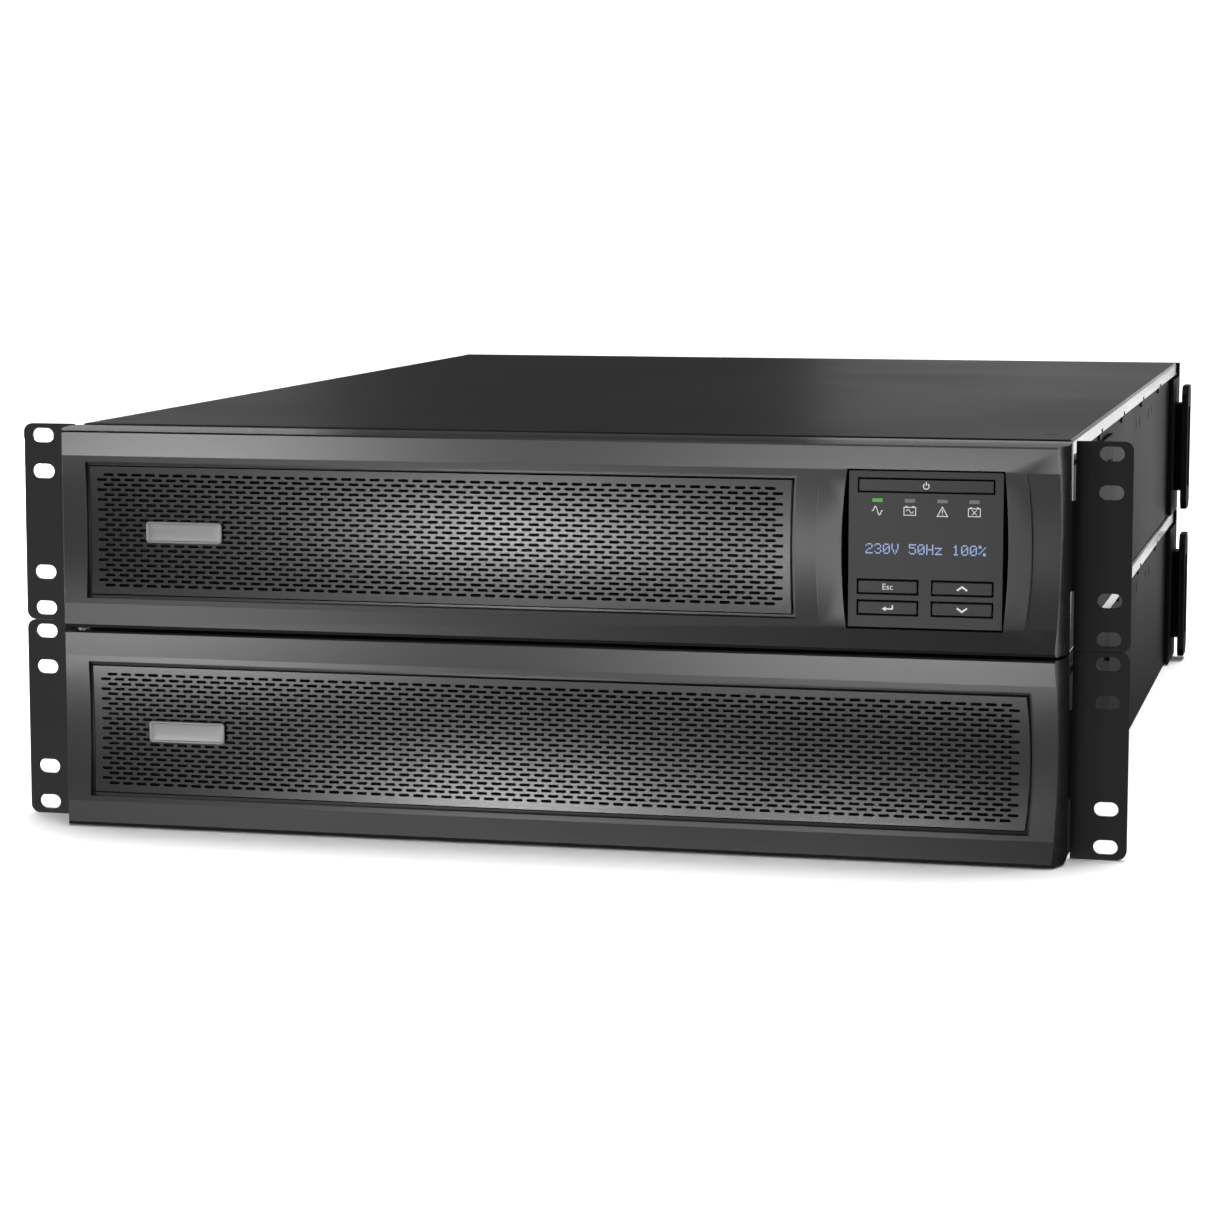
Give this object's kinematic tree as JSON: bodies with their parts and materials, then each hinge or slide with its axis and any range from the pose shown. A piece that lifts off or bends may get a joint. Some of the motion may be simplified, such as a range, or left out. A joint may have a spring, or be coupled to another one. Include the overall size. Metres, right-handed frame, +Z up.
{
  "type": "rackmount ups",
  "caption": "Rack-mounted uninterruptible power supply standing on a matching battery module, each with slotted ears, a grille bezel and a long steel case.",
  "frame": {"origin": "centre of the bounding box's underside", "axes": "+X to the right seen from the front, +Y from the front to the rear, +Z up"},
  "size_m": [0.4826, 0.6664, 0.173],
  "materials": {
    "black_steel": "fine textured black powder coat",
    "ear_steel": "satin black paint",
    "bezel_shell": "charcoal metallic satin",
    "grille_steel": "grey metallic satin",
    "badge_metal": "satin",
    "pod_plate": "dark grey satin",
    "pod_box": "matte black",
    "lcd": "dark display behind a plain window",
    "led": "diffusing light pipe",
    "key_cap": "satin with printed signs",
    "board": "green solder mask",
    "battery_case": "moulded black",
    "cartridge_steel": "galvanised",
    "core_steel": "laminated, varnished",
    "choke_core": "wound ring",
    "capacitor_sleeve": "shrink sleeve",
    "sink": "extruded",
    "fan_plastic": "moulded black",
    "socket_plastic": "moulded",
    "screw_steel": "zinc plated",
    "grip_plastic": "moulded, fine grain",
    "button_red": "moulded"
  },
  "bodies": {
    "modules": {"chassis_ups": "black_steel", "chassis_battery": "black_steel", "cover_ups": "black_steel", "cover_battery": "black_steel", "rear_plate_ups": "black_steel", "rear_plate_battery": "black_steel", "rear_wings_ups": "black_steel", "rear_wings_battery": "black_steel", "slot_cover": "black_steel", "ear_left_ups": "ear_steel", "ear_right_ups": "ear_steel", "ear_left_battery": "ear_steel", "ear_right_battery": "ear_steel", "main_board": "board", "control_card": "board", "transformer": "core_steel", "chokes": "choke_core", "capacitors": "capacitor_sleeve", "heat_sinks": "sink", "fan_frames": "fan_plastic", "ac_inlet": "socket_plastic", "outlets": "socket_plastic", "breaker_body": "socket_plastic", "data_ports": "socket_plastic", "battery_socket_ups": "socket_plastic", "battery_sockets": "socket_plastic", "ear_screws_ups": "screw_steel", "ear_screws_battery": "screw_steel", "rear_screws_ups": "screw_steel", "rear_screws_battery": "screw_steel", "side_grips_ups": "grip_plastic", "side_grips_battery": "grip_plastic"},
    "pod": {"pod_housing": "pod_box", "pod_panel": "pod_plate", "pod_lcd": "lcd", "pod_leds": "led", "pod_board": "board"},
    "power_key": {"key_power": "key_cap"},
    "esc_key": {"key_esc": "key_cap"},
    "enter_key": {"key_enter": "key_cap"},
    "up_key": {"key_up": "key_cap"},
    "down_key": {"key_down": "key_cap"},
    "ups_bezel": {"bezel_ups": "bezel_shell", "grille_ups": "grille_steel", "badge_ups": "badge_metal", "bezel_clips_ups": "bezel_shell"},
    "ups_cartridge": {"battery_tray_ups": "cartridge_steel", "battery_blocks_ups": "battery_case"},
    "battery_bezel": {"bezel_battery": "bezel_shell", "grille_battery": "grille_steel", "badge_battery": "badge_metal", "bezel_clips_battery": "bezel_shell"},
    "left_cartridge": {"battery_tray_left": "cartridge_steel", "battery_blocks_left": "battery_case"},
    "right_cartridge": {"battery_tray_right": "cartridge_steel", "battery_blocks_right": "battery_case"},
    "left_fan": {"fan_rotor_left": "fan_plastic"},
    "right_fan": {"fan_rotor_right": "fan_plastic"},
    "breaker": {"breaker_button": "button_red"}
  },
  "joints": [
    {"name": "display_pulls_out", "type": "slide", "parent": "modules", "child": "pod", "axis": [0, -1, 0], "range_m": [0, 0.025]},
    {"name": "power_press", "type": "slide", "parent": "pod", "child": "power_key", "axis": [0, 1, 0], "range_m": [0, 0.0012], "stiffness_N_per_m": 500, "springref_m": -0.0005},
    {"name": "esc_press", "type": "slide", "parent": "pod", "child": "esc_key", "axis": [0, 1, 0], "range_m": [0, 0.0012], "stiffness_N_per_m": 500, "springref_m": -0.0005},
    {"name": "enter_press", "type": "slide", "parent": "pod", "child": "enter_key", "axis": [0, 1, 0], "range_m": [0, 0.0012], "stiffness_N_per_m": 500, "springref_m": -0.0005},
    {"name": "up_press", "type": "slide", "parent": "pod", "child": "up_key", "axis": [0, 1, 0], "range_m": [0, 0.0012], "stiffness_N_per_m": 500, "springref_m": -0.0005},
    {"name": "down_press", "type": "slide", "parent": "pod", "child": "down_key", "axis": [0, 1, 0], "range_m": [0, 0.0012], "stiffness_N_per_m": 500, "springref_m": -0.0005},
    {"name": "ups_cartridge_slides", "type": "slide", "parent": "modules", "child": "ups_cartridge", "axis": [0, -1, 0], "range_m": [0, 0.24]},
    {"name": "ups_bezel_pulls_off", "type": "slide", "parent": "modules", "child": "ups_bezel", "axis": [0, -1, 0], "range_m": [0, 0.3]},
    {"name": "left_cartridge_slides", "type": "slide", "parent": "modules", "child": "left_cartridge", "axis": [0, -1, 0], "range_m": [0, 0.4]},
    {"name": "right_cartridge_slides", "type": "slide", "parent": "modules", "child": "right_cartridge", "axis": [0, -1, 0], "range_m": [0, 0.4]},
    {"name": "battery_bezel_pulls_off", "type": "slide", "parent": "modules", "child": "battery_bezel", "axis": [0, -1, 0], "range_m": [0, 0.5]},
    {"name": "left_fan_spins", "type": "hinge", "parent": "modules", "child": "left_fan", "pos_m": [-0.168, 0.31665, 0.1305], "axis": [0, 1, 0], "continuous": true},
    {"name": "right_fan_spins", "type": "hinge", "parent": "modules", "child": "right_fan", "pos_m": [-0.1, 0.31665, 0.1305], "axis": [0, 1, 0], "continuous": true},
    {"name": "breaker_press", "type": "slide", "parent": "modules", "child": "breaker", "axis": [0, -1, 0], "range_m": [0, 0.0015], "stiffness_N_per_m": 800, "springref_m": -0.0005}
  ],
  "couplings": [
    {"joint": "ups_bezel_pulls_off", "follows": "ups_cartridge_slides", "ratio": 1.25},
    {"joint": "right_cartridge_slides", "follows": "left_cartridge_slides", "ratio": 1},
    {"joint": "battery_bezel_pulls_off", "follows": "left_cartridge_slides", "ratio": 1.25}
  ]
}
